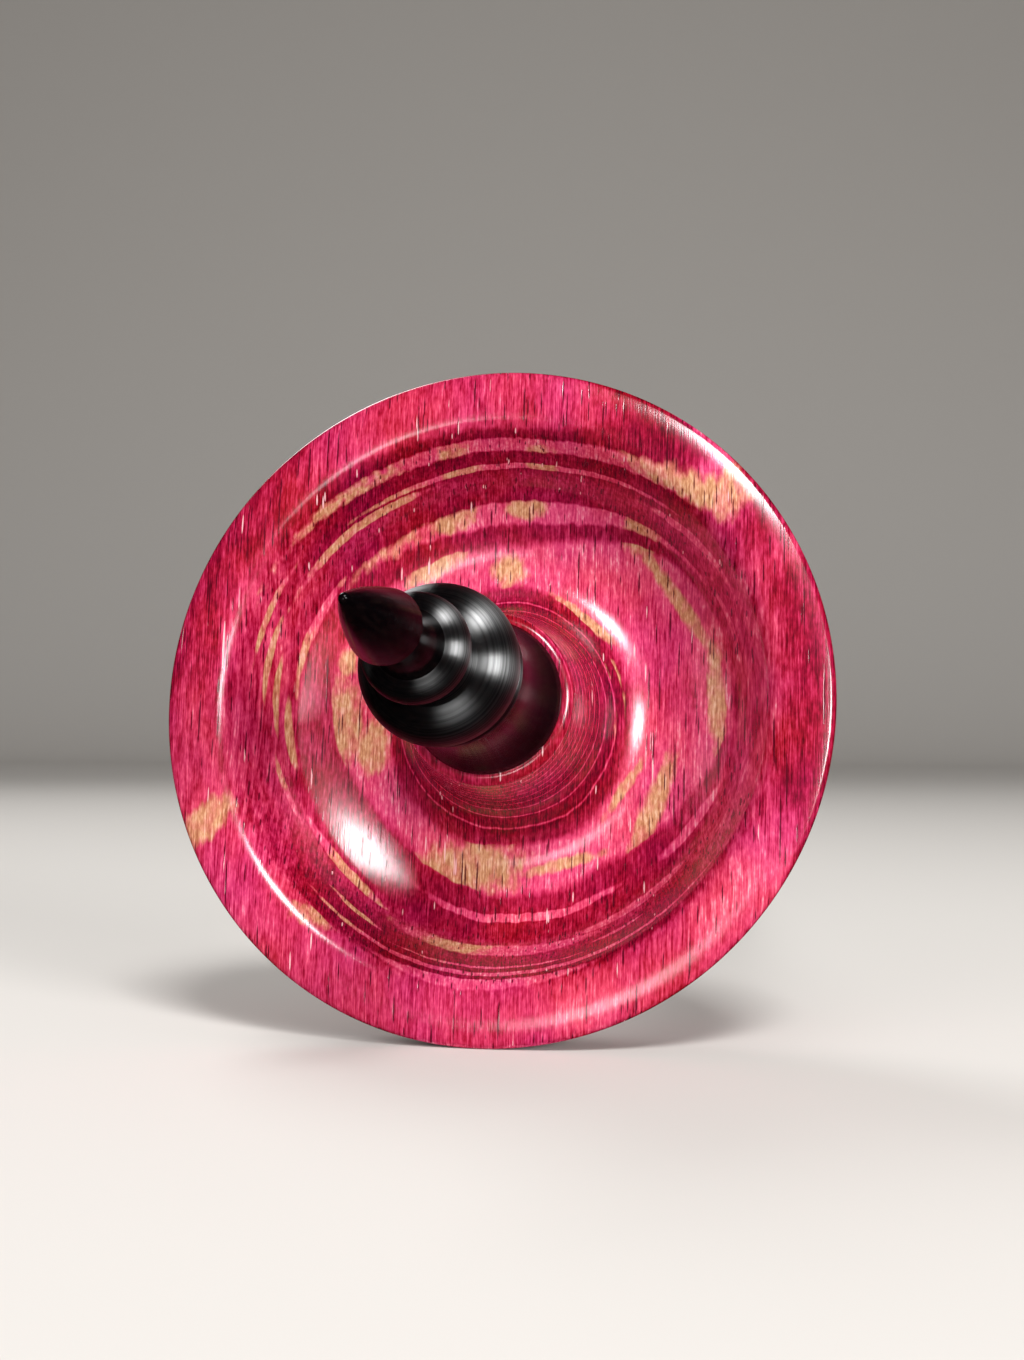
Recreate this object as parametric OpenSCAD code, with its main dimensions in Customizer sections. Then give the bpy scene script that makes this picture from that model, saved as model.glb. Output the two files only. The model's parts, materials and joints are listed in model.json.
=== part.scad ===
// Support spindle: a dished wooden whorl glued on a long black shaft, with a turned black tip in front.
// Every piece is a turning about the spindle's own axis. Heights along that axis count from the circle
// where the whorl is widest, positive towards the tip. The spindle then lies on its whorl and its far end.

/* [Whorl] */
// Outside diameter of the whorl
whorl_d = 57; // [52:1:66]
// Rounding of the whorl's outer edge
edge_round = 0.65; // [0.5:0.05:1.2]
// From the outer edge to the crest of the bowl's lip
rim_band_w = 3.5; // [2.6:0.1:5]
// Height of the lip's crest over the widest circle
lip_h = 0.8; // [0.3:0.1:1.4]
// Rounding of the lip where the band rolls into the bowl
lip_round = 2.4; // [1.6:0.1:2.8]
// Radius of the low crown of the rim band
band_crown_r = 7; // [5:0.5:15]
// Depth of the bowl's lowest circle under the widest circle
bowl_depth = 9; // [7.5:0.5:10.5]
// Diameter of the bowl's lowest circle
trough_d = 27; // [25:0.5:30]
// Hollow radius of the trough round that lowest circle
trough_round = 5.3; // [4:0.1:5.6]
// Slope, in degrees, at which the trough passes into the bowl's broad floor
floor_from = 17; // [12:1:20]
// Slope, in degrees, at which the floor turns up into the wall
floor_to = 30; // [24:1:34]
// Hollow radius of the floor, as a share of the way from the lowest circle to the lip's crest
floor_share = 1.565; // [1.2:0.005:1.7]
// Hollow radius of the turn from floor to wall, as a share of the same way
turn_share = 0.305; // [0.2:0.005:0.35]
// Height of the hub's flat top over the widest circle
hub_h = 2; // [1:0.25:4]
// Rounding of the hub's top edge
hub_round = 0.8; // [0.4:0.1:1.2]
// Ledge that the hub leaves round the tip's foot
hub_ledge = 0.1; // [0.05:0.05:0.5]
// Depth of the whorl's flat back under the widest circle
back_depth = 15; // [13.5:0.5:18]
// Ledge that the flat back leaves round the shaft's shoulder
back_ledge = 1.5; // [0.5:0.25:3]

/* [Tip] */
// Diameter of the foot that stands on the hub
foot_d = 12.8; // [12:0.1:14]
// Straight edge of the foot
foot_edge = 0.6; // [0.3:0.1:1.2]
// Length of the hollow neck
neck_l = 12.2; // [9:0.1:15]
// How far the neck is hollowed
neck_cove = 1.3; // [0.8:0.1:1.5]
// Diameter of the thin collar behind the large bead
collar_d = 11.7; // [10.8:0.1:12.2]
// Width of that collar
collar_w = 0.7; // [0.4:0.1:1.2]
// Diameter at the bottom of the cut between collar and large bead
cut_d = 10.2; // [9.6:0.1:10.6]
// Diameter of the large bead
bead_d = 12.4; // [11.4:0.1:13.5]
// Radius of the large bead's round
bead_round = 2.6; // [2.2:0.1:3]
// Length of the hollow between the beads
waist_l = 2.75; // [2:0.05:4]
// Diameter where that hollow meets the small bead
waist_d = 6.2; // [5.8:0.1:6.8]
// How far the hollow between the beads is cut
waist_cove = 0.35; // [0.1:0.05:0.6]
// Diameter of the small bead
small_bead_d = 8.2; // [7.4:0.1:9]
// Radius of the small bead's round
small_bead_round = 1.6; // [1.3:0.1:2]
// Diameter where the small bead runs into the last hollow
throat_d = 5.2; // [4.4:0.1:5.6]
// Length of the last hollow, up to the point's base
throat_l = 6.47; // [5:0.01:8]
// How far the last hollow is cut
throat_cove = 0.6; // [0.2:0.1:0.9]
// Diameter of the point's base
point_d = 5.4; // [4.6:0.1:6.2]
// Length of the point
point_l = 9.5; // [7:0.1:13]
// How far the point's side swells
point_swell = 0.2; // [0.1:0.05:0.6]
// Rounding of the very tip that spins in its dish
spin_round = 0.4; // [0.2:0.05:0.6]

/* [Shaft] */
// Diameter of the shoulder that seats on the whorl's back
shoulder_d = 11; // [9.5:0.1:13]
// Straight edge of the shoulder
shoulder_edge = 0.6; // [0.3:0.1:1.2]
// Length of the hollow sweep from shoulder to shaft
sweep_l = 9; // [6:0.5:14]
// How far the sweep is hollowed
sweep_cove = 1; // [0.5:0.1:1.4]
// Diameter of the straight stretch that carries the yarn
cop_d = 7; // [6.6:0.1:8]
// Length of that straight stretch
cop_l = 30; // [20:1:45]
// Length of the taper from there to the rounded end
taper_l = 125.4; // [100:0.2:180]
// Diameter of the rounded end
end_d = 4.2; // [3:0.1:5.5]

/* [Glued joint] */
// Diameter of the shaft's tenon
tenon_d = 6; // [5:0.1:6.4]
// How deep the tenon goes into the tip
tenon_grip = 9; // [6:0.5:11]
// Glue film round the tenon
glue_gap = 0.05; // [0.02:0.01:0.1]
// Spare depth of the socket past the tenon's end
socket_spare = 0.5; // [0.2:0.1:1]
// Chamfer on the tenon's end
tenon_chamfer = 0.5; // [0.2:0.1:0.8]

/* [Hidden] */
// Turn of an arc, in degrees, between two of its points
arc_step = 4;
// Steps round a turning when it is drawn as a mesh
$fn = 180;

dyed_pink = [0.79, 0.11, 0.34];
dense_black = [0.06, 0.055, 0.06];

// Arcs of a profile. A point is [radius, height].
function heading(v) = atan2(v[1], v[0]);
function on_circle(c, r, a) = c + r * [cos(a), sin(a)];
function arc(c, r, a0, a1) =
    let (n = max(2, ceil(abs(a1 - a0) / arc_step)))
    [for (i = [0:n]) on_circle(c, r, a0 + (a1 - a0) * i / n)];
// Arc from p to q that bows out to the right of its way by s, or in to the left where s is negative.
function bow(p, q, s) =
    let (v = q - p,
         chord = norm(v),
         half = 2 * atan(2 * s / chord),
         r = chord / (2 * sin(half)),
         c = (p + q) / 2 - r * cos(half) * [v[1], -v[0]] / chord,
         a = heading(p - c))
    arc(c, abs(r), a, a + 2 * half);
// Angle at which a bead's round of radius r, about a circle of radius c_r, comes down to radius at_r.
function bead_angle(at_r, c_r, r) = acos((at_r - c_r) / r);

// Whorl: centres of the profile's rounds, and the tangents between them
whorl_r = whorl_d / 2;
foot_r = foot_d / 2;
bore_r = tenon_d / 2 + glue_gap;
edge_c = [whorl_r - edge_round, 0];
lip_c = [whorl_r - rim_band_w, lip_h - lip_round];
trough_c = [trough_d / 2, trough_round - bowl_depth];
bowl_w = lip_c[0] - trough_c[0];
floor_r = floor_share * bowl_w;
turn_r = turn_share * bowl_w;
floor_c = on_circle(trough_c, trough_round - floor_r, floor_from - 90);
turn_c = on_circle(floor_c, floor_r - turn_r, floor_to - 90);
hub_c = [foot_r + hub_ledge, hub_h - hub_round];
// The wall touches the turn and the lip from opposite sides.
wall_way = lip_c - turn_c;
wall_slope = heading(wall_way) + asin((turn_r + lip_round) / norm(wall_way));
// The hub's cone touches the trough's round and the hub's top round likewise.
cone_way = trough_c - hub_c;
cone_facing = heading(cone_way) + acos((trough_round + hub_round) / norm(cone_way));
// The rim band's crown holds the edge round and the lip round inside it.
band_way = edge_c - lip_c;
band_along = ((band_crown_r - lip_round) ^ 2 - (band_crown_r - edge_round) ^ 2 + band_way * band_way)
    / (2 * norm(band_way));
band_down = sqrt((band_crown_r - lip_round) ^ 2 - band_along ^ 2);
band_c = lip_c + (band_along * band_way + band_down * [band_way[1], -band_way[0]]) / norm(band_way);
// The domed back leaves the flat back level and runs into the edge round.
back_flat_r = shoulder_d / 2 + back_ledge;
back_reach = edge_c[0] - back_flat_r;
back_r = (back_reach ^ 2 + back_depth ^ 2 - edge_round ^ 2) / (2 * (back_depth - edge_round));
back_c = [back_flat_r, back_r - back_depth];

// Tip: heights of its turned details, from the seat on the hub upwards
bead_c_r = bead_d / 2 - bead_round;
small_c_r = small_bead_d / 2 - small_bead_round;
bead_a0 = bead_angle(cut_d / 2, bead_c_r, bead_round);
small_a0 = bead_angle(waist_d / 2, small_c_r, small_bead_round);
small_a1 = bead_angle(throat_d / 2, small_c_r, small_bead_round);
neck_h = hub_h + foot_edge;
collar_h = neck_h + neck_l;
cut_h = collar_h + collar_w;
bead_h = cut_h + bead_round * sin(bead_a0);
waist_h = bead_h + bead_round;
small_h = waist_h + waist_l + small_bead_round * sin(small_a0);
throat_h = small_h + small_bead_round * sin(small_a1);
point_h = throat_h + throat_l;
apex_h = point_h + point_l;
spin_c = [0, apex_h - spin_round];
// Where the point's side runs into the round of the very tip
spin_meet = on_circle(spin_c, spin_round, atan2(point_d / 2, point_l));
socket_r = tenon_d / 2 + glue_gap;
socket_top = hub_h + tenon_grip + socket_spare;

// Shaft: heights from the whorl's back down to the rounded end
sweep_h = -back_depth - shoulder_edge;
cop_h = sweep_h - sweep_l;
taper_h = cop_h - cop_l;
end_h = taper_h - taper_l;
end_r = end_d / 2;

// Lying: the floor touches the whorl's edge round and the rounded end
lie_way = norm([edge_c[0], end_h]);
lie_tilt = acos((end_r - edge_round) / lie_way) - atan2(-end_h, edge_c[0]);
axis_z = edge_c[0] * cos(lie_tilt) + edge_round;
front_y = -(spin_c[1] * cos(lie_tilt) + spin_round);
rear_y = -end_h * cos(lie_tilt) + end_r;

// Lays a turning down, tip to the front and a little up, over the middle of its own length
module lying() {
    translate([0, -(front_y + rear_y) / 2, axis_z])
        rotate([90 - lie_tilt, 0, 0])
            children();
}

// Dished whorl of dyed wood, bored through for the tenon
module whorl() {
    color(dyed_pink)
        lying()
            rotate_extrude()
                polygon(concat(
                    [[bore_r, -back_depth]],
                    arc(back_c, back_r, -90, heading(edge_c - back_c)),
                    arc(edge_c, edge_round, heading(edge_c - back_c), heading(edge_c - band_c)),
                    arc(band_c, band_crown_r, heading(edge_c - band_c), heading(lip_c - band_c)),
                    arc(lip_c, lip_round, heading(lip_c - band_c), 90 + wall_slope),
                    arc(turn_c, turn_r, wall_slope - 90, floor_to - 90),
                    arc(floor_c, floor_r, floor_to - 90, floor_from - 90),
                    arc(trough_c, trough_round, floor_from - 90, cone_facing - 180),
                    arc(hub_c, hub_round, cone_facing, 90),
                    [[bore_r, hub_h]]));
}

// Turned tip with two beads and a spinning point, socketed over the tenon
module tip() {
    color(dense_black)
        lying()
            rotate_extrude()
                polygon(concat(
                    [[socket_r, hub_h], [foot_r, hub_h]],
                    bow([foot_r, neck_h], [collar_d / 2, collar_h], -neck_cove),
                    bow([collar_d / 2, collar_h], [cut_d / 2, cut_h], collar_w / 4),
                    arc([bead_c_r, bead_h], bead_round, -bead_a0, 90),
                    bow([bead_c_r, waist_h], [waist_d / 2, waist_h + waist_l], -waist_cove),
                    arc([small_c_r, small_h], small_bead_round, -small_a0, small_a1),
                    bow([throat_d / 2, throat_h], [point_d / 2, point_h], -throat_cove),
                    bow([point_d / 2, point_h], spin_meet, point_swell),
                    arc(spin_c, spin_round, heading(spin_meet - spin_c), 90),
                    [[0, socket_top], [socket_r, socket_top]]));
}

// Long shaft with a shoulder on the whorl's back and a tenon through the whorl into the tip
module shaft() {
    tenon_r = tenon_d / 2;
    tenon_top = hub_h + tenon_grip;
    shoulder_r = shoulder_d / 2;
    cop_r = cop_d / 2;
    color(dense_black)
        lying()
            rotate_extrude()
                polygon(concat(
                    arc([0, end_h], end_r, -90, 0),
                    [[cop_r, taper_h]],
                    bow([cop_r, cop_h], [shoulder_r, sweep_h], -sweep_cove),
                    [[shoulder_r, -back_depth], [tenon_r, -back_depth]],
                    [[tenon_r, tenon_top - tenon_chamfer], [tenon_r - tenon_chamfer, tenon_top]],
                    [[0, tenon_top]]));
}

whorl();
shaft();
tip();
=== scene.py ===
import json
import math

import bmesh
import bpy
from mathutils import Matrix, Vector


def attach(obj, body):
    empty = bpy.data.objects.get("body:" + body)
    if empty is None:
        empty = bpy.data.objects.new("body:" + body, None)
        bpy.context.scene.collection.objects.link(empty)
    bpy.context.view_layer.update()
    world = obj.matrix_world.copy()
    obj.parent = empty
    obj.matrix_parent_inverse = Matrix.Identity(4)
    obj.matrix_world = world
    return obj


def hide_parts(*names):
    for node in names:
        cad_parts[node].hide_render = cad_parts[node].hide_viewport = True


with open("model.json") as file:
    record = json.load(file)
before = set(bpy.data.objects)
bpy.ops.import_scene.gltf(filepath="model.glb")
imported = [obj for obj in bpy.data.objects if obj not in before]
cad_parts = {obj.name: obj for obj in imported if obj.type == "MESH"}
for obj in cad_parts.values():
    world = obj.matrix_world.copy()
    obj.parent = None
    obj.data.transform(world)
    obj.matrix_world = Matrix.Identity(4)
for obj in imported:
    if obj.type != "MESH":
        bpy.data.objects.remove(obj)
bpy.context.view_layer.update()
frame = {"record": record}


# Shaft: one long turning of dense black hardwood, oiled and buffed to a gloss. Its shoulder is glued against
# the whorl's back, its tenon runs on through the whorl into the tip, and its straight stretch takes the yarn.

MM = 0.001
# Sizes are in mm. Heights run along the spindle, from the circle where the whorl is widest towards the tip.
mounts = {mount["name"]: mount for mount in frame["record"]["mounts"]}
cop = mounts["cop_stretch"]
cop_r = cop["dims"]["r_mm"]
cop_l = cop["dims"]["length_mm"]
back_h = -15.0
shoulder_r = 5.5
shoulder_edge = 0.6
sweep_l = 9.0
sweep_cove = 1.0
taper_l = 125.4
end_r = 2.1
tenon_r = 3.0
tenon_top = 11.0
tenon_chamfer = 0.5
sweep_h = back_h - shoulder_edge
cop_h = sweep_h - sweep_l
taper_h = cop_h - cop_l
end_h = taper_h - taper_l

# The spindle's own axes: X across the whorl's grain, Y along it, Z along the shaft towards the tip.
to_tip = -Vector(cop["axis"])
across = Vector((1, 0, 0))
along_grain = to_tip.cross(across)
middle = Vector(cop["pos_m"]) - to_tip * (cop_h - cop_l / 2) * MM
lying = Matrix((across, along_grain, to_tip)).transposed().to_4x4()
lying.translation = middle

# How finely profiles are drawn: degrees of an arc, and mm of a straight stretch
ARC_STEP = 2.5
STRAIGHT_STEP = 1.0
# Edges that turn by more than this, in degrees, stay sharp.
SHARP_ANGLE = 30
# Lengths under this, in mm, count as none.
TINY = 1e-4


def heading(v):
    """The angle of a way in the profile, in degrees."""
    return math.degrees(math.atan2(v.y, v.x))


def arc(centre, radius, start, end):
    """Profile points round a centre, between two angles in degrees."""
    count = max(2, math.ceil(abs(end - start) / ARC_STEP))
    angles = [math.radians(start + (end - start) * i / count) for i in range(count + 1)]
    return [centre + radius * Vector((math.cos(a), math.sin(a))) for a in angles]


def line(p, q):
    """Profile points along a straight stretch."""
    count = max(1, math.ceil((q - p).length / STRAIGHT_STEP))
    return [p.lerp(q, i / count) for i in range(count + 1)]


def bow(p, q, depth):
    """Profile points from p to q, bowed out to the right of the way by depth, or in where it is negative."""
    way = q - p
    half = 2 * math.atan(2 * depth / way.length)
    radius = way.length / (2 * math.sin(half))
    centre = (p + q) / 2 - radius * math.cos(half) * Vector((way.y, -way.x)) / way.length
    start = heading(p - centre)
    return arc(centre, abs(radius), start, start + 2 * math.degrees(half))


def turned(name, stretches, steps):
    """A turning about the spindle's axis from stretches of (radius, height) points in mm.
    A profile that starts on the axis ends on it too, and any other closes on itself as a ring."""
    profile = []
    for stretch in stretches:
        for point in stretch:
            if not profile or (point - profile[-1]).length > TINY:
                profile.append(point)
    solid = bmesh.new()
    rows = []
    for radius, height in profile:
        on_axis = radius < TINY
        turns = [2 * math.pi * i / steps for i in range(1 if on_axis else steps)]
        rows.append([solid.verts.new((radius * math.cos(t) * MM, radius * math.sin(t) * MM, height * MM))
                     for t in turns])
    following = rows[1:] if len(rows[0]) == 1 else rows[1:] + rows[:1]
    for low, high in zip(rows, following):
        for i in range(steps):
            j = (i + 1) % steps
            corners = [low[i % len(low)], low[j % len(low)], high[j % len(high)], high[i % len(high)]]
            solid.faces.new(list(dict.fromkeys(corners)))
    bmesh.ops.recalc_face_normals(solid, faces=solid.faces)
    solid.transform(lying)
    mesh = bpy.data.meshes.new(name)
    solid.to_mesh(mesh)
    solid.free()
    mesh.shade_smooth()
    mesh.set_sharp_from_angle(angle=math.radians(SHARP_ANGLE))
    piece = bpy.data.objects.new(name, mesh)
    bpy.context.scene.collection.objects.link(piece)
    return piece


shaft_steps = 120
cop_end = Vector((cop_r, cop_h))
shoulder_foot = Vector((shoulder_r, sweep_h))
shaft = turned("turned_shaft", [
    arc(Vector((0, end_h)), end_r, -90, 0),
    line(Vector((end_r, end_h)), Vector((cop_r, taper_h))),
    line(Vector((cop_r, taper_h)), cop_end),
    bow(cop_end, shoulder_foot, -sweep_cove),
    line(shoulder_foot, Vector((shoulder_r, back_h))),
    line(Vector((shoulder_r, back_h)), Vector((tenon_r, back_h))),
    line(Vector((tenon_r, back_h)), Vector((tenon_r, tenon_top - tenon_chamfer))),
    [Vector((tenon_r - tenon_chamfer, tenon_top)), Vector((0, tenon_top))],
], shaft_steps)

# Brown streaks along the shaft: size in mm, and shades from dark to light
streak_size = (0.35, 0.35, 9.0)
streak_shades = ((0.42, "#030203"), (0.75, "#0e0808"))
# The real tool lines are some 0.05 mm apart; they are drawn at 0.18 mm so that they show.
ring_size = (40.0, 40.0, 0.18)
ring_depth = 0.01
# How rough and how bright the gloss is where the wood is polished smooth, and where tool rings are left
smooth_rough = 0.13
ringed_rough = 0.32
smooth_gloss = 0.09
ring_gloss_low = 0.35
ring_gloss_high = 1.0


def linear(colour):
    """An sRGB hex colour as linear RGBA."""
    parts = [int(colour[i:i + 2], 16) / 255 for i in (1, 3, 5)]
    return [c / 12.92 if c <= 0.04045 else ((c + 0.055) / 1.055) ** 2.4 for c in parts] + [1.0]


def node(tree, kind, inputs=(), stops=(), **settings):
    """Adds a node. An input's value is a constant, a socket, or a node whose first output feeds it. Stops are
    a colour ramp's positions and colours, lowest first."""
    made = tree.nodes.new(kind)
    for name, value in settings.items():
        setattr(made, name, value)
    # A new ramp has two stops already.
    for index, (position, colour) in enumerate(stops):
        if index < 2:
            stop = made.color_ramp.elements[index]
        else:
            stop = made.color_ramp.elements.new(position)
        stop.position = position
        stop.color = colour
    for name, value in dict(inputs).items():
        if isinstance(value, bpy.types.Node):
            value = value.outputs[0]
        if isinstance(value, bpy.types.NodeSocket):
            tree.links.new(value, made.inputs[name])
        else:
            made.inputs[name].default_value = value
    return made


def in_mm(tree):
    """The spot on the piece in the spindle's own axes, in mm."""
    return node(tree, "ShaderNodeMapping", {
        "Vector": node(tree, "ShaderNodeTexCoord").outputs["Object"],
        "Location": middle,
        "Rotation": lying.to_euler(),
        "Scale": (MM, MM, MM),
    }, vector_type="TEXTURE")


def spots(tree, mm, size, detail=2.0):
    """Noise whose spots have about the given size in mm along the spindle's three axes."""
    scaled = node(tree, "ShaderNodeVectorMath", {0: mm, 1: [1 / s for s in size]}, operation="MULTIPLY")
    return node(tree, "ShaderNodeTexNoise", {"Vector": scaled, "Scale": 1.0, "Detail": detail}).outputs[0]


def black_hardwood(name, ringed_from, ringed_to):
    """Buffed black hardwood: near black with brown streaks along the grain. Between two heights, the rings
    that the turning tool left spread the gloss across themselves as bright fans."""
    material = bpy.data.materials.new(name)
    material.use_nodes = True
    tree = material.node_tree
    shader = tree.nodes["Principled BSDF"]
    mm = in_mm(tree)
    streaks = spots(tree, mm, streak_size, detail=3.0)
    shades = [(at, linear(shade)) for at, shade in streak_shades]
    tone = node(tree, "ShaderNodeValToRGB", {0: streaks}, shades)
    height = node(tree, "ShaderNodeSeparateXYZ", {0: mm}).outputs["Z"]
    above = node(tree, "ShaderNodeMath", {0: height, 1: ringed_from}, operation="GREATER_THAN")
    below = node(tree, "ShaderNodeMath", {0: height, 1: ringed_to}, operation="LESS_THAN")
    ringed = node(tree, "ShaderNodeMath", {0: above, 1: below}, operation="MULTIPLY")
    rings = spots(tree, mm, ring_size)
    bump = node(tree, "ShaderNodeBump", {"Strength": 1.0, "Distance": ring_depth * MM, "Height": rings})
    rough = node(tree, "ShaderNodeMapRange", {
        "Value": ringed, "To Min": smooth_rough, "To Max": ringed_rough})
    ring_gloss = node(tree, "ShaderNodeMapRange", {
        "Value": rings, "From Min": 0.38, "From Max": 0.56,
        "To Min": ring_gloss_low, "To Max": ring_gloss_high})
    # A mix takes its share at 0, its two numbers at 2 and 3, and its two colours at 6 and 7.
    gloss = node(tree, "ShaderNodeMix", {0: ringed, 2: smooth_gloss, 3: ring_gloss})
    outward = node(tree, "ShaderNodeVectorMath", {
        0: node(tree, "ShaderNodeTexCoord").outputs["Object"], 1: middle}, operation="SUBTRACT")
    round_axis = node(tree, "ShaderNodeVectorMath", {0: to_tip, 1: outward}, operation="CROSS_PRODUCT")
    tree.links.new(tone.outputs[0], shader.inputs["Base Color"])
    tree.links.new(bump.outputs[0], shader.inputs["Normal"])
    tree.links.new(rough.outputs[0], shader.inputs["Roughness"])
    tree.links.new(gloss.outputs[0], shader.inputs["Specular IOR Level"])
    tree.links.new(round_axis.outputs[0], shader.inputs["Tangent"])
    shader.inputs["Anisotropic"].default_value = 1.0
    shader.inputs["Anisotropic Rotation"].default_value = 0.25
    shader.inputs["IOR"].default_value = 1.7
    return material


# The tool's rings are left on the whole shaft, from its far end to its shoulder.
shaft.data.materials.append(black_hardwood("buffed_black_hardwood", end_h - end_r, back_h))
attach(shaft, "root")
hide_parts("shaft")


# Whorl: a dished disc turned from figured wood, dyed through in pinks and crimson and lacquered. It is bored
# for the tenon, and its layers lie nearly square to the bore, so the bowl cuts them as rings.

whorl_r = 28.5
edge_round = 0.65
rim_band_w = 3.5
lip_h = 0.8
lip_round = 2.4
band_crown_r = 7.0
bowl_depth = 9.0
trough_r = 13.5
trough_round = 5.3
# Slopes in degrees at which the floor starts and ends
floor_from = 17.0
floor_to = 30.0
# Radii of the floor and of its turn into the wall, as shares of the bowl's width
floor_share = 1.565
turn_share = 0.305
hub_h = 2.0
hub_round = 0.8
hub_r = 6.5
back_ledge = 1.5
bore_r = 3.05

edge_c = Vector((whorl_r - edge_round, 0))
lip_c = Vector((whorl_r - rim_band_w, lip_h - lip_round))
trough_c = Vector((trough_r, trough_round - bowl_depth))
bowl_w = lip_c.x - trough_r
floor_r = floor_share * bowl_w
turn_r = turn_share * bowl_w


def down_slope(slope):
    """The way from a hollow round's centre to where its surface has the given slope."""
    return Vector((math.sin(math.radians(slope)), -math.cos(math.radians(slope))))


# The trough passes into a broad floor, and that turns up into the wall.
floor_c = trough_c + (trough_round - floor_r) * down_slope(floor_from)
turn_c = floor_c + (floor_r - turn_r) * down_slope(floor_to)
hub_c = Vector((hub_r, hub_h - hub_round))
# The wall touches the turn and the lip from opposite sides, and the hub's cone does the same.
wall_way = lip_c - turn_c
wall_slope = heading(wall_way) + math.degrees(math.asin((turn_r + lip_round) / wall_way.length))
cone_way = trough_c - hub_c
cone_facing = heading(cone_way) + math.degrees(math.acos((trough_round + hub_round) / cone_way.length))
# The rim band's low crown holds the edge round and the lip round inside it.
band_way = edge_c - lip_c
crown_to_lip = band_crown_r - lip_round
crown_to_edge = band_crown_r - edge_round
band_along = (crown_to_lip ** 2 - crown_to_edge ** 2 + band_way.length_squared) / (2 * band_way.length)
band_down = math.sqrt(crown_to_lip ** 2 - band_along ** 2)
band_c = lip_c + (band_along * band_way + band_down * Vector((band_way.y, -band_way.x))) / band_way.length
# The domed back leaves the flat back level and runs into the edge round.
back_flat_r = shoulder_r + back_ledge
back_reach = edge_c.x - back_flat_r
back_r = (back_reach ** 2 + back_h ** 2 - edge_round ** 2) / (2 * (-back_h - edge_round))
back_c = Vector((back_flat_r, back_r + back_h))

whorl_steps = 360
lip_inside = arc(lip_c, lip_round, heading(lip_c - band_c), 90 + wall_slope)
floor_turn = arc(turn_c, turn_r, wall_slope - 90, floor_to - 90)
trough = arc(trough_c, trough_round, floor_from - 90, cone_facing - 180)
hub_top = arc(hub_c, hub_round, cone_facing, 90)
whorl = turned("turned_whorl", [
    line(Vector((bore_r, back_h)), Vector((back_flat_r, back_h))),
    arc(back_c, back_r, -90, heading(edge_c - back_c)),
    arc(edge_c, edge_round, heading(edge_c - back_c), heading(edge_c - band_c)),
    arc(band_c, band_crown_r, heading(edge_c - band_c), heading(lip_c - band_c)),
    lip_inside,
    line(lip_inside[-1], floor_turn[0]),
    floor_turn,
    arc(floor_c, floor_r, floor_to - 90, floor_from - 90),
    trough,
    line(trough[-1], hub_top[0]),
    hub_top,
    line(hub_top[-1], Vector((bore_r, hub_h))),
    line(Vector((bore_r, hub_h)), Vector((bore_r, back_h)))[:-1],
], whorl_steps)

# Where the layers rise: across, along the grain, half widths across and along, and rise, in mm
layer_rises = (
    (24, 10, 26, 28, 2.7),
    (-24, 12, 20, 24, 0.95),
    (-17, -17, 14, 14, -1.0),
)
# How the layers wander: size of the wandering across, along the grain and in height, and how far, in mm
layer_wander = (
    (8.0, 18.0, 8.0, 0.5),
    (2.4, 8.0, 4.0, 0.3),
    (0.8, 2.5, 2.0, 0.16),
)
# How pale the dye left the dense wood, by height in mm
dense_levels = (
    (-15.0, 0.30),
    (-14.2, 0.50),
    (-13.2, 0.25),
    (-12.4, 0.55),
    (-11.4, 0.28),
    (-10.6, 0.50),
    (-9.4, 0.70),
    (-8.75, 0.70),
    (-8.5, 0.31),
    (-7.0, 0.27),
    (-6.3, 0.34),
    (-5.0, 0.40),
    (-4.1, 0.28),
    (-1.8, 0.20),
    (-0.2, 0.20),
    (0.2, 0.26),
    (0.45, 0.48),
    (2.0, 0.52),
)
# Pale layers as flat lenses: middle across, along the grain and in height, then half sizes, in mm
pale_lenses = (
    (1.5, 18.0, -1.15, 21.0, 25.0, 0.75),
    (1.0, 18.0, -3.6, 14.0, 25.0, 0.32),
    (-13.0, 16.0, -4.4, 6.5, 14.0, 0.40),
    (2.0, 17.0, -7.55, 16.0, 22.0, 0.48),
    (16.0, 13.0, -4.75, 4.5, 9.0, 0.45),
    (-20.3, 8.5, -2.65, 2.8, 5.0, 0.30),
    (-17.8, 8.0, -7.2, 3.2, 6.5, 0.30),
    (-21.0, 4.5, -4.1, 2.5, 4.0, 0.35),
    (-20.0, 1.5, -5.4, 2.5, 3.5, 0.35),
    (-19.5, -2.0, -6.6, 2.0, 3.5, 0.35),
    (-19.3, -7.0, -4.9, 2.5, 3.0, 0.35),
    (18.5, 6.0, -7.0, 3.0, 4.5, 0.40),
    (19.0, -6.0, -4.0, 2.5, 4.5, 0.40),
    (2.0, -18.0, -1.25, 18.0, 22.0, 0.30),
    (0.0, -19.0, -2.35, 8.0, 22.0, 0.17),
    (0.0, -18.0, -5.05, 9.0, 18.0, 0.85),
    (11.5, -16.0, -5.85, 5.5, 9.0, 0.55),
    (1.5, -17.0, -7.75, 9.0, 18.0, 0.20),
    (0.0, -22.0, 0.0, 9.5, 22.0, 0.45),
    (10.5, -18.5, -3.5, 2.2, 6.0, 0.22),
    (-14.5, -13.5, -5.7, 4.8, 7.0, 0.40),
    (-12.0, -17.5, -3.1, 2.4, 6.0, 0.22),
    (16.0, -9.0, -7.6, 3.5, 5.0, 0.30),
)
pale_level = 0.70
# The hub's thin pale layers: their heights and half thickness in mm, and how pale they are. Dense wood lies
# between them, a little paler with each mm up the hub as a painted sheen, and the trough starts the scale.
hub_layers = (-7.7, -6.6, -5.5, -4.3, -3.1, -2.2, -1.4, -0.55, 0.4, 1.2)
hub_layer_half = 0.12
hub_layer_level = 0.7
hub_dense_level = 0.14
hub_painted_sheen_rise = 0.02
hub_start = (-8.4, 0.3)
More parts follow.
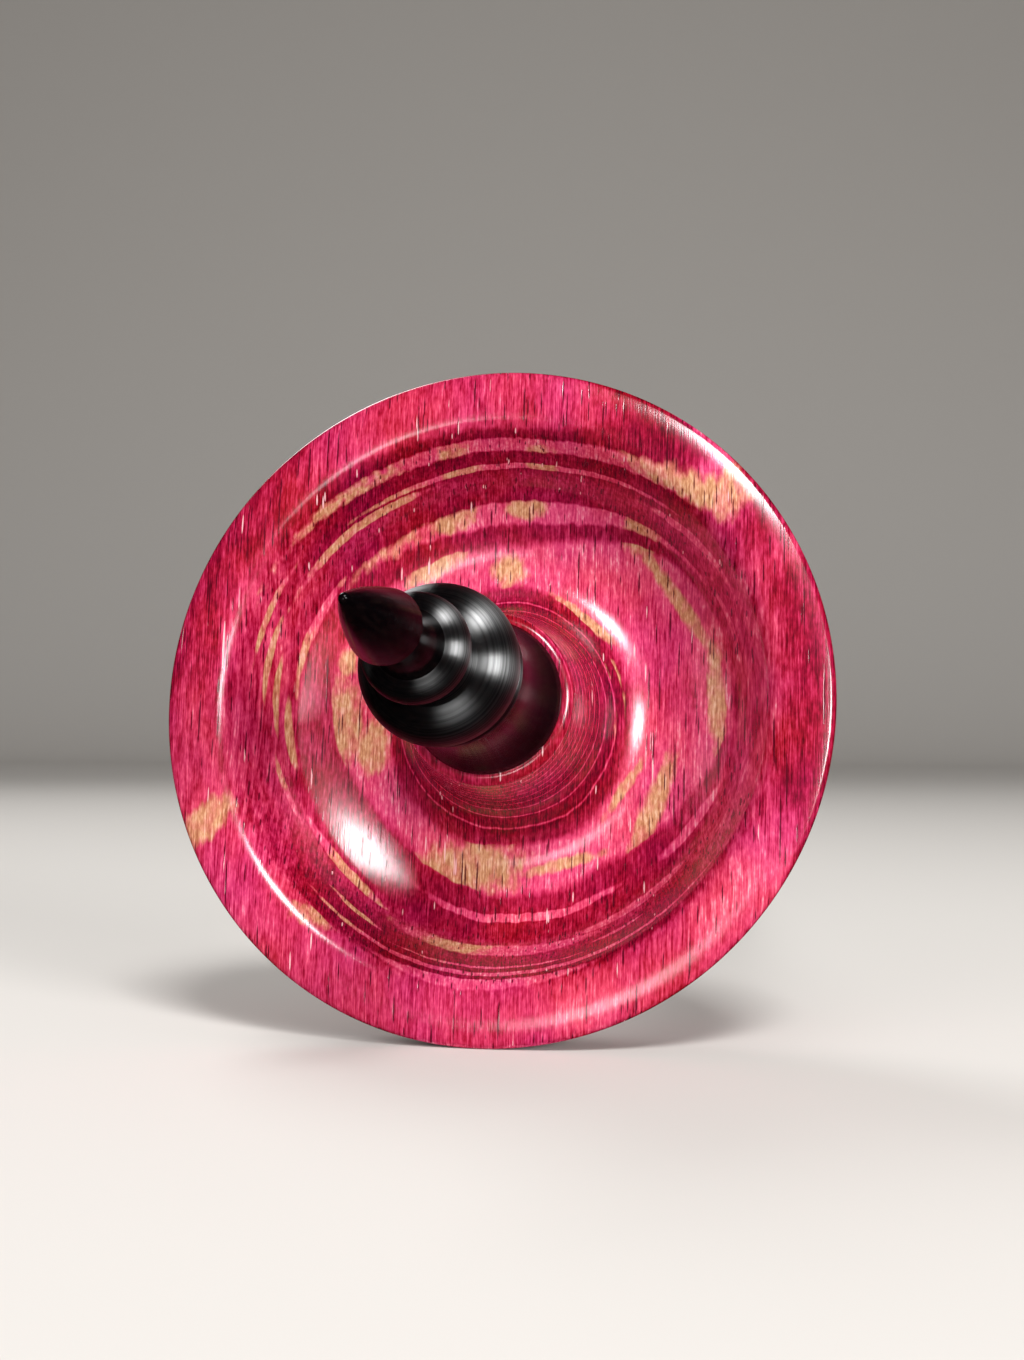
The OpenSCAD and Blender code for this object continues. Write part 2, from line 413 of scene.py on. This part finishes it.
# Radii between which the hub's layers give way to the bowl's, and the bowl's mottling fades towards the rim
hub_fade = (10.2, 11.2)
rim_fade = (23.5, 25.5)
# Where the mottled wood beside the hub starts and is full, in mm across the grain, and how pale it is
side_fade = (14.0, 21.5)
side_level = 0.60
# Where the dye missed the pale wood: across and along the grain, half sizes in mm, and turn in degrees
undyed_patches = (
    (-24.2, -10.3, 3.6, 1.5, 42),
    (20.2, 17.6, 4.6, 2.2, 42),
    (14.6, 19.2, 5.6, 1.3, -32),
    (18.2, 17.0, 2.4, 1.8, -32),
    (-13.2, 15.9, 6.8, 3.0, 39),
    (-4.2, 20.9, 2.0, 1.6, 0),
    (3.0, 21.2, 1.6, 1.4, 0),
    (-5.6, 17.7, 2.6, 1.3, 20),
    (1.0, 18.5, 2.0, 1.2, 0),
    (11.4, 15.8, 2.0, 2.0, 0),
    (14.4, 10.1, 6.5, 0.7, -55),
    (18.05, 1.3, 5.8, 0.9, -86),
    (12.4, -8.2, 5.6, 1.1, 71),
    (9.9, -6.4, 3.4, 0.5, 57),
    (-3.4, -13.1, 5.6, 2.5, 0),
    (4.4, -12.9, 4.6, 0.6, 16),
    (-15.5, -0.6, 2.0, 4.6, 0),
    (-12.8, -2.7, 1.9, 2.6, -15),
    (-15.2, 4.9, 0.9, 1.5, 0),
    (-7.5, 13.5, 3.2, 1.0, 29),
    (-0.7, 13.2, 1.8, 1.6, 0),
    (6.5, 8.4, 4.4, 0.5, -38),
    (9.0, 3.8, 1.7, 0.4, -67),
    (9.7, -0.7, 2.8, 0.4, -94),
    (-13.3, -13.8, 3.2, 3.0, 0),
    (-20.0, 1.5, 2.4, 10.0, 0),
    (-12.6, -17.6, 4.0, 1.6, 0),
    (-3.8, -20.2, 3.6, 1.2, 0),
)
# Paler patches on the rim, in the same terms, and by how much: a painted sheen of lamp light on the lacquer,
# partly also washed-out dye
rim_sheen_and_wash_patches = (
    (21.0, -15.5, 9.0, 3.4, 52),
    (9.0, -25.0, 7.0, 3.0, 20),
    (23.5, 12.2, 4.5, 3.2, 60),
)
rim_sheen_and_wash_level = 0.24
# Half height of a patch that goes right through the whorl
THROUGH = 1000
# Further off than any layer or patch reaches, in its own half sizes
FAR_OFF = 10.0
# The block was sawn askew: its fibres and pores lie in planes that lean from the bore, by this many degrees.
grain_lean = 12.2
# Sizes of the wood's patterns across, along the grain and in height, in mm. Real fibres are some 0.02 mm
# wide; they are drawn at 0.1 mm so that they show.
fibre_size = (0.1, 2.6, 1.6)
fleck_size = (0.22, 0.7, 0.4)
mottle_size = (0.6, 4.0, 1.2)
fray_size = (0.7, 1.8, 0.7)
blotch_size = (1.1, 1.6, 1.1)
hue_size = (7.0, 9.0, 5.0)
# How strongly fibres and flecks lighten the dye, and how far pale layers and undyed patches are frayed
fibre_strength = 0.9
fleck_strength = 0.6
layer_fray = 0.6
patch_fray = 1.2
# Pores: cell of one pore across, along the grain and in height in mm, and the share of the cell it reaches
pore_sets = (
    ((0.48, 14.0, 2.2), 0.19),
    ((0.34, 5.0, 1.3), 0.2),
)
# A pore's soft edge ends at this many times its reach. Its fray is a share of the reach.
pore_edge = 1.3
pore_fray = 0.6
pore_strength = 0.9
# Share of the pores that hold filler, and depth of pores and fibres in mm
filled_share = 0.06
relief_depth = 0.012
# Shades of the dye, of bare wood and of pores, from deep to pale
dye_shades = (
    (0.0, "#480010"),
    (0.2, "#780320"),
    (0.35, "#960e30"),
    (0.5, "#b0244b"),
    (0.65, "#c6385e"),
    (0.8, "#da5474"),
    (0.92, "#de8295"),
    (1.0, "#e6a4ac"),
)
bare_shades = ((0.1, "#96583c"), (0.26, "#c48c66"), (0.42, "#dcb496"))
open_pore = "#4a0416"
filled_pore = "#eab0b6"


def away(tree, place, middle_at, half, turn=0.0):
    """How far a place is from a spot, where 1 is on the ellipsoid with those half sizes round it."""
    near = node(tree, "ShaderNodeMapping", {
        "Vector": place, "Location": middle_at, "Rotation": (0, 0, math.radians(turn)), "Scale": half,
    }, vector_type="TEXTURE")
    return node(tree, "ShaderNodeVectorMath", {0: near}, operation="LENGTH").outputs["Value"]


def nearest(tree, distances):
    """The least of several distances."""
    least = FAR_OFF
    for distance in distances:
        least = node(tree, "ShaderNodeMath", {0: least, 1: distance}, operation="MINIMUM")
    return least


def height_in_stack(tree, mm):
    """The height within the stack of layers, which rise in places and wander."""
    height = node(tree, "ShaderNodeSeparateXYZ", {0: mm}).outputs["Z"]
    for x, y, half_across, half_along, rise in layer_rises:
        hump = node(tree, "ShaderNodeMapRange", {
            "Value": away(tree, mm, (x, y, 0), (half_across, half_along, THROUGH)),
            "To Min": rise, "To Max": 0.0}, interpolation_type="SMOOTHSTEP")
        height = node(tree, "ShaderNodeMath", {0: height, 1: hump}, operation="SUBTRACT")
    for *size, wander in layer_wander:
        noise = spots(tree, mm, size)
        height = node(tree, "ShaderNodeMath", {0: noise, 1: wander, 2: height}, operation="MULTIPLY_ADD")
        height = node(tree, "ShaderNodeMath", {0: height, 1: wander / 2}, operation="SUBTRACT")
    return height


def by_height(tree, height, levels):
    """A level that goes by the height within the stack, as pairs of height and level."""
    low, high = levels[0][0], levels[-1][0]
    position = node(tree, "ShaderNodeMapRange", {"Value": height, "From Min": low, "From Max": high})
    greys = [((h - low) / (high - low), (level, level, level, 1)) for h, level in levels]
    return node(tree, "ShaderNodeValToRGB", {0: position}, greys)


def lacquered_dyed_wood():
    """Dyed figured wood under lacquer: crimson and pink layers, bare tan patches, dark and chalky pores."""
    material = bpy.data.materials.new("lacquered_dyed_wood")
    material.use_nodes = True
    tree = material.node_tree
    shader = tree.nodes["Principled BSDF"]
    mm = in_mm(tree)
    spot = node(tree, "ShaderNodeSeparateXYZ", {0: mm})
    off_axis = node(tree, "ShaderNodeVectorMath", {0: mm, 1: (1, 1, 0)}, operation="MULTIPLY")
    radius = node(tree, "ShaderNodeVectorMath", {0: off_axis}, operation="LENGTH").outputs["Value"]
    height = height_in_stack(tree, mm)
    in_stack = node(tree, "ShaderNodeCombineXYZ", {
        "X": spot.outputs["X"], "Y": spot.outputs["Y"], "Z": height})
    grain = node(tree, "ShaderNodeMapping", {"Vector": mm, "Rotation": (0, -math.radians(grain_lean), 0)})
    fibres = spots(tree, grain, fibre_size)
    flecks = spots(tree, grain, fleck_size)
    mottle = spots(tree, grain, mottle_size, detail=4.0)
    fray = spots(tree, mm, fray_size, detail=4.0)

    # Dense wood between the pale layers. Beside the hub, where the layers run along the grain, it is mottled.
    off_middle = node(tree, "ShaderNodeMath", {0: spot.outputs["X"]}, operation="ABSOLUTE")
    beside = node(tree, "ShaderNodeMapRange", {
        "Value": off_middle, "From Min": side_fade[0], "From Max": side_fade[1], "To Max": 0.75,
    }, interpolation_type="SMOOTHSTEP")
    in_bowl = node(tree, "ShaderNodeMapRange", {
        "Value": radius, "From Min": rim_fade[0], "From Max": rim_fade[1], "To Min": 1.0, "To Max": 0.3})
    beside = node(tree, "ShaderNodeMath", {0: beside, 1: in_bowl}, operation="MULTIPLY")
    dense_level = by_height(tree, height, dense_levels)
    dense = node(tree, "ShaderNodeMix", {0: beside, 2: dense_level, 3: side_level})

    # Pale layers, frayed by the fibres at their edges
    to_layer = nearest(tree, [away(tree, in_stack, lens[:3], lens[3:]) for lens in pale_lenses])
    frayed = node(tree, "ShaderNodeMath", {0: fray, 1: layer_fray, 2: to_layer}, operation="MULTIPLY_ADD")
    layer_here = node(tree, "ShaderNodeMapRange", {
        "Value": frayed, "From Min": 1.1, "From Max": 1.45, "To Min": 1.0, "To Max": 0.0,
    }, interpolation_type="SMOOTHSTEP")
    pale = node(tree, "ShaderNodeMix", {0: layer_here, 2: dense, 3: pale_level})

    # The hub is dense wood with thin pale layers, and a painted sheen makes it paler towards the foot.
    hub_levels = [hub_start]
    for at in hub_layers:
        between = hub_dense_level + hub_painted_sheen_rise * (at - hub_layers[0])
        hub_levels += [(at - hub_layer_half, between), (at, hub_layer_level), (at + hub_layer_half, between)]
    on_hub = node(tree, "ShaderNodeMapRange", {
        "Value": radius, "From Min": hub_fade[0], "From Max": hub_fade[1], "To Min": 1.0, "To Max": 0.0})
    pale = node(tree, "ShaderNodeMix", {0: on_hub, 2: pale, 3: by_height(tree, height, hub_levels)})

    # The dye took unevenly, most of all beside the hub. A painted sheen pales some stretches of the rim.
    uneven = node(tree, "ShaderNodeMath", {0: mottle, 1: 0.5}, operation="SUBTRACT")
    unevenness = node(tree, "ShaderNodeMapRange", {"Value": beside, "To Min": 0.4, "To Max": 1.5})
    pale = node(tree, "ShaderNodeMath", {0: uneven, 1: unevenness, 2: pale}, operation="MULTIPLY_ADD")
    # These patches paint in a sheen of lamp light on the lacquer, partly also washed-out dye.
    for x, y, half_long, half_short, turn in rim_sheen_and_wash_patches:
        sheen_and_wash_here = node(tree, "ShaderNodeMapRange", {
            "Value": away(tree, mm, (x, y, 0), (half_long, half_short, THROUGH), turn),
            "To Min": rim_sheen_and_wash_level, "To Max": 0.0}, interpolation_type="SMOOTHSTEP")
        pale = node(tree, "ShaderNodeMath", {0: pale, 1: sheen_and_wash_here}, operation="ADD")

    # Fibres lighten and darken the dye in streaks along the grain, with short flecks between them. Both are
    # noise round a half, so half their strength comes off again.
    half_strength = (fibre_strength + fleck_strength) / 2
    pale = node(tree, "ShaderNodeMath", {0: fibres, 1: fibre_strength, 2: pale}, operation="MULTIPLY_ADD")
    pale = node(tree, "ShaderNodeMath", {0: flecks, 1: fleck_strength, 2: pale}, operation="MULTIPLY_ADD")
    pale = node(tree, "ShaderNodeMath", {0: pale, 1: half_strength}, operation="SUBTRACT")
    dye = node(tree, "ShaderNodeValToRGB", {0: pale}, [(at, linear(shade)) for at, shade in dye_shades])
    # The dye leans to magenta in some places and to crimson in others.
    hue = node(tree, "ShaderNodeMapRange", {
        "Value": spots(tree, mm, hue_size, detail=3.0), "From Min": 0.35, "From Max": 0.65,
        "To Min": 0.492, "To Max": 0.507})
    dye = node(tree, "ShaderNodeHueSaturation", {"Hue": hue, "Color": dye})

    # Bare tan wood where the dye missed pale wood: in a pale layer, on the floor of the bowl or on its rim
    to_patch = nearest(tree, [away(tree, mm, (x, y, 0), (half_long, half_short, THROUGH), turn)
                              for x, y, half_long, half_short, turn in undyed_patches])
    frayed = node(tree, "ShaderNodeMath", {0: fray, 1: patch_fray, 2: to_patch}, operation="MULTIPLY_ADD")
    bare = node(tree, "ShaderNodeMapRange", {
        "Value": frayed, "From Min": 1.15, "From Max": 1.7, "To Min": 1.0, "To Max": 0.0,
    }, interpolation_type="SMOOTHSTEP")
    blotches = node(tree, "ShaderNodeMapRange", {
        "Value": spots(tree, mm, blotch_size, detail=4.0), "From Min": 0.34, "From Max": 0.56, "To Min": 0.6})
    bare = node(tree, "ShaderNodeMath", {0: bare, 1: blotches}, operation="MULTIPLY")
    pale_wood = node(tree, "ShaderNodeMapRange", {"Value": dense_level, "From Min": 0.42, "From Max": 0.5})
    pale_wood = node(tree, "ShaderNodeMath", {0: pale_wood, 1: layer_here}, operation="MAXIMUM")
    bare = node(tree, "ShaderNodeMath", {0: bare, 1: pale_wood}, operation="MULTIPLY")
    tan_tone = node(tree, "ShaderNodeMath", {0: fibres, 1: flecks}, operation="MULTIPLY")
    tan = node(tree, "ShaderNodeValToRGB", {0: tan_tone}, [(at, linear(shade)) for at, shade in bare_shades])
    colour = node(tree, "ShaderNodeMix", {0: bare, 6: dye, 7: tan}, data_type="RGBA").outputs[2]

    # Pores run along the grain, up to 0.2 mm wide: most are open and dark, and some hold chalky filler. The
    # cells of the last set also say where the filler is.
    pore = 0.0
    for cell, reach in pore_sets:
        in_cells = node(tree, "ShaderNodeVectorMath", {
            0: grain, 1: [1 / s for s in cell]}, operation="MULTIPLY")
        cells = node(tree, "ShaderNodeTexVoronoi", {"Vector": in_cells, "Scale": 1.0})
        from_core = node(tree, "ShaderNodeMath", {
            0: flecks, 1: pore_fray * reach, 2: cells.outputs["Distance"]}, operation="MULTIPLY_ADD")
        inside = node(tree, "ShaderNodeMapRange", {
            "Value": from_core, "From Min": reach, "From Max": pore_edge * reach,
            "To Min": pore_strength, "To Max": 0.0})
        pore = node(tree, "ShaderNodeMath", {0: pore, 1: inside}, operation="MAXIMUM")
    chance = node(tree, "ShaderNodeSeparateColor", {0: cells.outputs["Color"]})
    filled = node(tree, "ShaderNodeMath", {0: chance, 1: 1 - filled_share}, operation="GREATER_THAN")
    in_pore = node(tree, "ShaderNodeMix", {
        0: filled, 6: linear(open_pore), 7: linear(filled_pore)}, data_type="RGBA").outputs[2]
    colour = node(tree, "ShaderNodeMix", {0: pore, 6: colour, 7: in_pore}, data_type="RGBA").outputs[2]

    # Pores are sunk a little, and fibres stand proud. The lacquer follows both, and it alone gives the gloss.
    relief = node(tree, "ShaderNodeMath", {0: pore, 1: -1.0, 2: fibres}, operation="MULTIPLY_ADD")
    bump = node(tree, "ShaderNodeBump", {"Strength": 0.6, "Distance": relief_depth * MM, "Height": relief})
    tree.links.new(colour, shader.inputs["Base Color"])
    tree.links.new(bump.outputs[0], shader.inputs["Normal"])
    tree.links.new(bump.outputs[0], shader.inputs["Coat Normal"])
    shader.inputs["Roughness"].default_value = 0.45
    shader.inputs["Specular IOR Level"].default_value = 0.0
    shader.inputs["Coat Weight"].default_value = 1.0
    shader.inputs["Coat Roughness"].default_value = 0.2
    shader.inputs["Coat IOR"].default_value = 1.6
    return material


whorl.data.materials.append(lacquered_dyed_wood())
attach(whorl, "root")
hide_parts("whorl")


# Tip: a black hardwood turning that is socketed over the tenon and glued down on the whorl's hub. From its
# foot it runs through a hollow neck, a thin collar and two beads to the point that spins in a dish.

foot_r = 6.4
foot_edge = 0.6
neck_l = 12.2
neck_cove = 1.3
collar_r = 5.85
collar_w = 0.7
collar_swell = collar_w / 4
cut_r = 5.1
bead_r = 6.2
bead_round = 2.6
waist_l = 2.75
waist_r = 3.1
waist_cove = 0.35
small_bead_r = 4.1
small_bead_round = 1.6
throat_r = 2.6
throat_l = 6.47
throat_cove = 0.6
point_r = 2.7
point_l = 9.5
point_swell = 0.2
spin_round = 0.4
socket_r = 3.05
socket_top = 11.5

bead_c_r = bead_r - bead_round
small_c_r = small_bead_r - small_bead_round
bead_from = math.degrees(math.acos((cut_r - bead_c_r) / bead_round))
small_from = math.degrees(math.acos((waist_r - small_c_r) / small_bead_round))
small_to = math.degrees(math.acos((throat_r - small_c_r) / small_bead_round))
neck_h = hub_h + foot_edge
collar_h = neck_h + neck_l
cut_h = collar_h + collar_w
bead_h = cut_h + bead_round * math.sin(math.radians(bead_from))
waist_h = bead_h + bead_round
small_h = waist_h + waist_l + small_bead_round * math.sin(math.radians(small_from))
throat_h = small_h + small_bead_round * math.sin(math.radians(small_to))
point_h = throat_h + throat_l
spin_c = Vector((0, point_h + point_l - spin_round))
spin_angle = math.degrees(math.atan2(point_r, point_l))
spin_top = arc(spin_c, spin_round, spin_angle, 90)

tip_steps = 180
neck_foot = Vector((foot_r, neck_h))
collar_edge = Vector((collar_r, collar_h))
cut_bottom = Vector((cut_r, cut_h))
tip = turned("turned_tip", [
    [Vector((0, socket_top)), Vector((socket_r, socket_top))],
    line(Vector((socket_r, socket_top)), Vector((socket_r, hub_h))),
    line(Vector((socket_r, hub_h)), Vector((foot_r, hub_h))),
    line(Vector((foot_r, hub_h)), neck_foot),
    bow(neck_foot, collar_edge, -neck_cove),
    bow(collar_edge, cut_bottom, collar_swell),
    arc(Vector((bead_c_r, bead_h)), bead_round, -bead_from, 90),
    bow(Vector((bead_c_r, waist_h)), Vector((waist_r, waist_h + waist_l)), -waist_cove),
    arc(Vector((small_c_r, small_h)), small_bead_round, -small_from, small_to),
    bow(Vector((throat_r, throat_h)), Vector((point_r, point_h)), -throat_cove),
    bow(Vector((point_r, point_h)), spin_top[0], point_swell),
    spin_top[:-1] + [Vector((0, spin_top[-1].y))],
], tip_steps)

# The tool's rings are left on the collar and the beads; the neck, throat and point are polished smooth.
tip.data.materials.append(black_hardwood("buffed_black_hardwood_tip", collar_h, throat_h))
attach(tip, "root")
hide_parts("tip")


# Camera: at the photograph's viewing angle, level with the spindle and a little to its right.

# The photograph's height and focal length, in pixels. The sensor's width spans the photograph's height.
PHOTO_TALL = 1360
focal_px = 1958
sensor_w = 36
nearest_seen = 0.01
azimuth = math.radians(12.33)
elevation = math.radians(-1.26)
# Where the camera stands from the whorl's middle, in mm along its own axes
aside = 1.76
above = 1.79
distance = 163.37
rightward = Vector((math.cos(azimuth), math.sin(azimuth), 0))
backward = Vector((math.sin(azimuth) * math.cos(elevation), -math.cos(azimuth) * math.cos(elevation),
                   math.sin(elevation)))
upward = backward.cross(rightward)
camera = bpy.data.objects.new("camera", bpy.data.cameras.new("camera"))
camera.data.sensor_width = sensor_w
camera.data.lens = focal_px / PHOTO_TALL * sensor_w
camera.data.clip_start = nearest_seen
camera.location = middle + (aside * rightward + above * upward + distance * backward) * MM
camera.rotation_mode = "QUATERNION"
camera.rotation_quaternion = (-backward).to_track_quat("-Z", "Y")
bpy.context.scene.collection.objects.link(camera)
bpy.context.scene.camera = camera


# Studio: a pale sweep of matt paper that runs from the floor up behind the spindle. Its sizes are in metres.

sweep_front = -3.0
sweep_back = 1.0
sweep_wide = 3.0
sweep_tall = 2.0
sweep_bend = 0.4
bend_steps = 15
bend_turns = [math.radians(90 * i / bend_steps) for i in range(bend_steps + 1)]
sweep_line = [(sweep_front, 0.0)]
sweep_line += [(sweep_back + sweep_bend * math.sin(t), sweep_bend * (1 - math.cos(t))) for t in bend_turns]
sweep_line += [(sweep_back + sweep_bend, sweep_tall)]
corners = [(side * sweep_wide, y, z) for y, z in sweep_line for side in (-1, 1)]
strips = [(2 * i, 2 * i + 1, 2 * i + 3, 2 * i + 2) for i in range(len(sweep_line) - 1)]
paper_mesh = bpy.data.meshes.new("paper_sweep")
paper_mesh.from_pydata(corners, [], strips)
paper_mesh.shade_smooth()
paper = bpy.data.objects.new("paper_sweep", paper_mesh)
bpy.context.scene.collection.objects.link(paper)
matt_paper = bpy.data.materials.new("matt_paper")
matt_paper.use_nodes = True
paper_shader = matt_paper.node_tree.nodes["Principled BSDF"]
paper_shader.inputs["Base Color"].default_value = linear("#dcd8d3")
paper_shader.inputs["Roughness"].default_value = 0.9
paper_mesh.materials.append(matt_paper)
# Pale paper mirrored in the lacquer would veil the deep reds, so the gloss leaves it out.
paper.visible_glossy = False


# Light: soft lamps at the right and above give the main highlights, a dim one beside the camera gives the rim
# its sheen, and one behind shapes the shaft and the whorl's back. A broad lamp in front and the room fill the
# shadows; the gloss leaves these two out, so that dark wood stays dark.

# How wide a lamp throws its light, in degrees, so that less of it lands on the floor further off
LAMP_SPREAD = 90


def soft_lamp(name, way, far, wide, tall, watts, in_gloss=True):
    """An area lamp that faces the whorl from a way given as (right, up, back) of the camera. Its distance
    and its size are in metres."""
    lamp = bpy.data.lights.new(name, "AREA")
    lamp.shape = "RECTANGLE"
    lamp.size = wide
    lamp.size_y = tall
    lamp.energy = watts
    lamp.spread = math.radians(LAMP_SPREAD)
    holder = bpy.data.objects.new(name, lamp)
    towards = (way[0] * rightward + way[1] * upward + way[2] * backward).normalized()
    holder.location = middle + towards * far
    holder.rotation_mode = "QUATERNION"
    holder.rotation_quaternion = towards.to_track_quat("Z", "Y")
    holder.visible_glossy = in_gloss
    bpy.context.scene.collection.objects.link(holder)


soft_lamp("right_lamp", way=(0.53, 0.21, 0.82), far=1.0, wide=0.30, tall=0.28, watts=2.0)
soft_lamp("upper_lamp", way=(0.13, 0.73, 0.67), far=1.0, wide=0.26, tall=0.24, watts=1.8)
soft_lamp("front_lamp", way=(-0.65, 0.25, 0.72), far=1.2, wide=0.9, tall=0.9, watts=1.1, in_gloss=False)
soft_lamp("sheen_lamp", way=(-0.25, -0.05, 0.97), far=1.0, wide=0.26, tall=0.22, watts=0.36)
soft_lamp("back_lamp", way=(-0.4, 0.7, -0.7), far=1.0, wide=0.4, tall=0.4, watts=0.9)
room = bpy.data.worlds.new("room")
room.use_nodes = True
room_light = room.node_tree.nodes["Background"]
room_light.inputs["Color"].default_value = linear("#c8c6c4")
room_light.inputs["Strength"].default_value = 0.45
bpy.context.scene.world = room
room.cycles_visibility.glossy = False
bpy.context.scene.view_settings.view_transform = "Standard"
